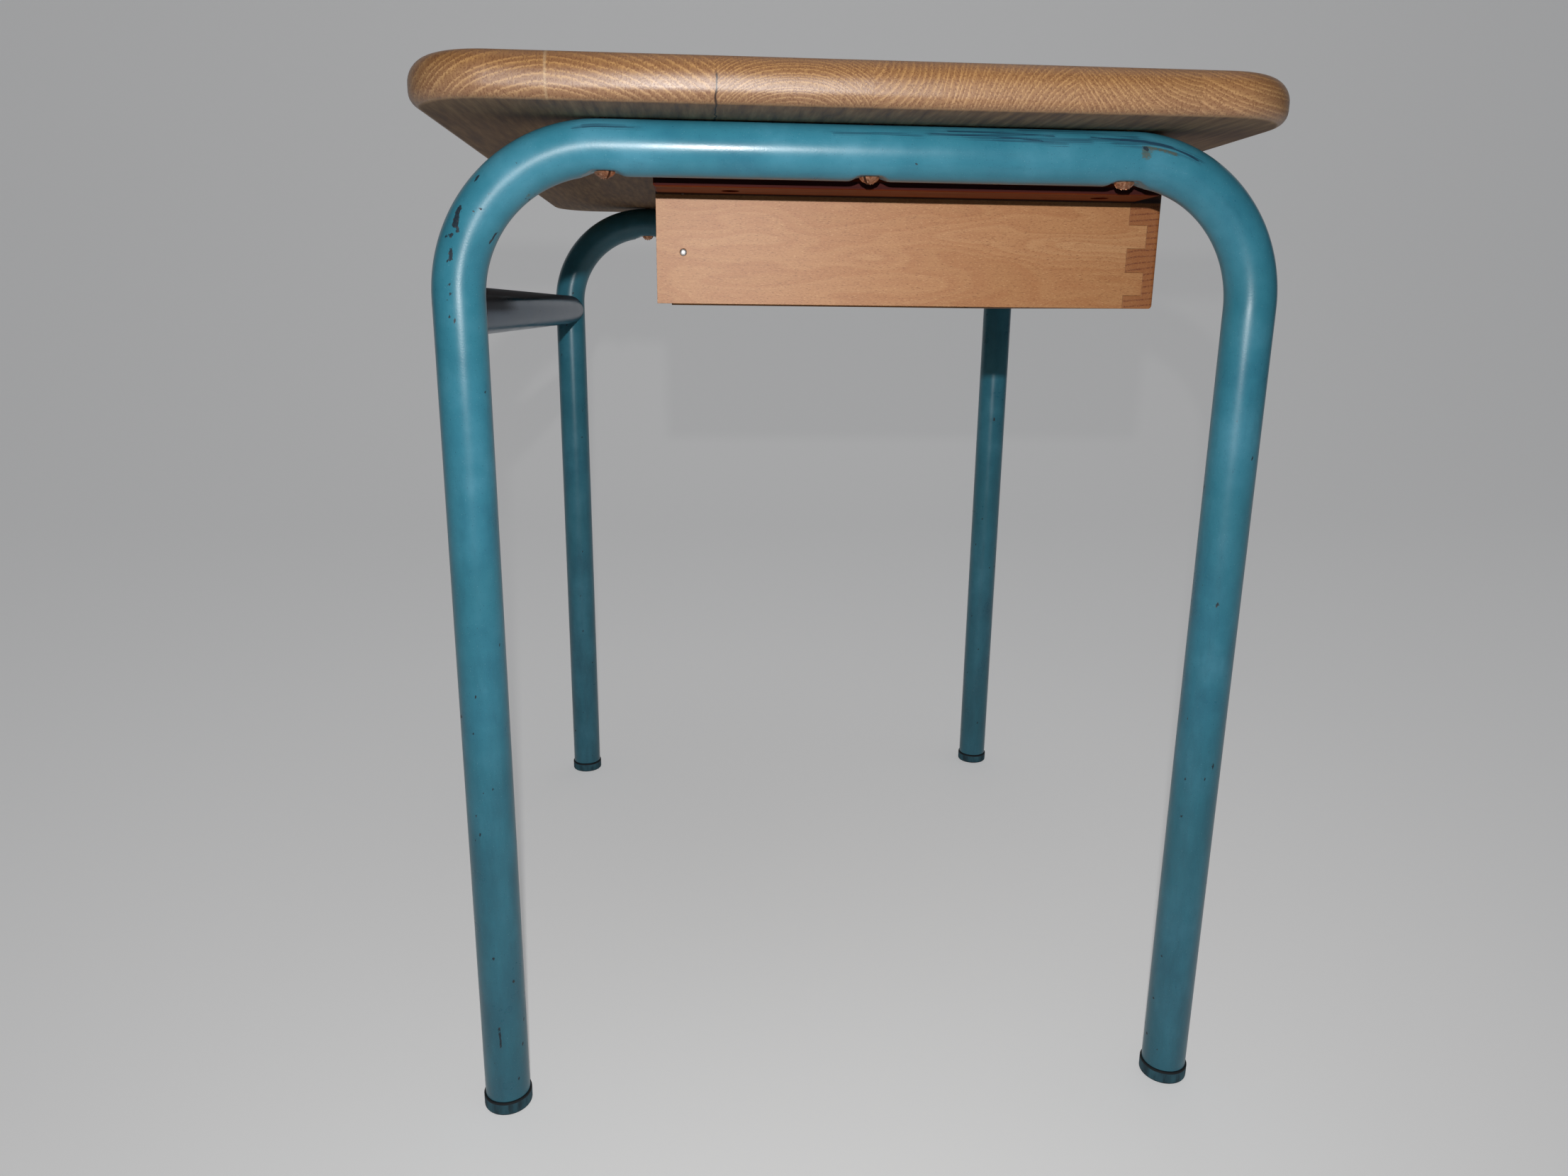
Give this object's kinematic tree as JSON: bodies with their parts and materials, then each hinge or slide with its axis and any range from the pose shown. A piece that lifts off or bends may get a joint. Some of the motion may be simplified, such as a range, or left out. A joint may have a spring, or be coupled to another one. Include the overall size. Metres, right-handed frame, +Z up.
{
  "type": "school desk",
  "caption": "Child's school desk: a rounded oak top on bent tube end frames joined by a rear stretcher, with a sliding wooden drawer on runners beneath.",
  "frame": {"origin": "on the floor, midway between the four feet", "axes": "+X along the desk's long side to the child's right, -Y towards the seated child, +Z up; the drawer opens towards -Y"},
  "size_m": [0.61, 0.452, 0.5948],
  "materials": {
    "varnished_oak": "honey varnish, satin",
    "varnished_beech": "clear varnish, satin",
    "plywood": "bare, matt",
    "brown_varnished_wood": "dark brown varnish",
    "teal_enamel": "gloss enamel, worn",
    "foot_plastic": "painted over, worn",
    "plated_steel": "chrome plated, lightly rusted",
    "screw_brass": "tarnished",
    "nail_steel": "dull"
  },
  "bodies": {
    "desk": {"desktop": "varnished_oak", "left_leg_frame": "teal_enamel", "right_leg_frame": "teal_enamel", "stretcher_bar": "plated_steel", "left_front_foot": "foot_plastic", "left_rear_foot": "foot_plastic", "right_front_foot": "foot_plastic", "right_rear_foot": "foot_plastic", "left_frame_screw_1": "screw_brass", "left_frame_screw_2": "screw_brass", "left_frame_screw_3": "screw_brass", "right_frame_screw_1": "screw_brass", "right_frame_screw_2": "screw_brass", "right_frame_screw_3": "screw_brass", "left_runner": "brown_varnished_wood", "right_runner": "brown_varnished_wood", "left_runner_screw_front": "screw_brass", "left_runner_screw_rear": "screw_brass", "right_runner_screw_front": "screw_brass", "right_runner_screw_rear": "screw_brass"},
    "drawer": {"drawer_front": "varnished_beech", "left_drawer_side": "varnished_beech", "right_drawer_side": "varnished_beech", "drawer_back": "varnished_beech", "drawer_bottom": "plywood", "left_cleat": "varnished_beech", "right_cleat": "varnished_beech", "left_cleat_screw_front": "screw_brass", "left_cleat_screw_rear": "screw_brass", "right_cleat_screw_front": "screw_brass", "right_cleat_screw_rear": "screw_brass", "left_back_nail_1": "nail_steel", "left_back_nail_2": "nail_steel", "right_back_nail_1": "nail_steel", "right_back_nail_2": "nail_steel"}
  },
  "joints": [
    {"name": "drawer_slide", "type": "slide", "parent": "desk", "child": "drawer", "axis": [0, -1, 0], "range_m": [0, 0.2]}
  ]
}
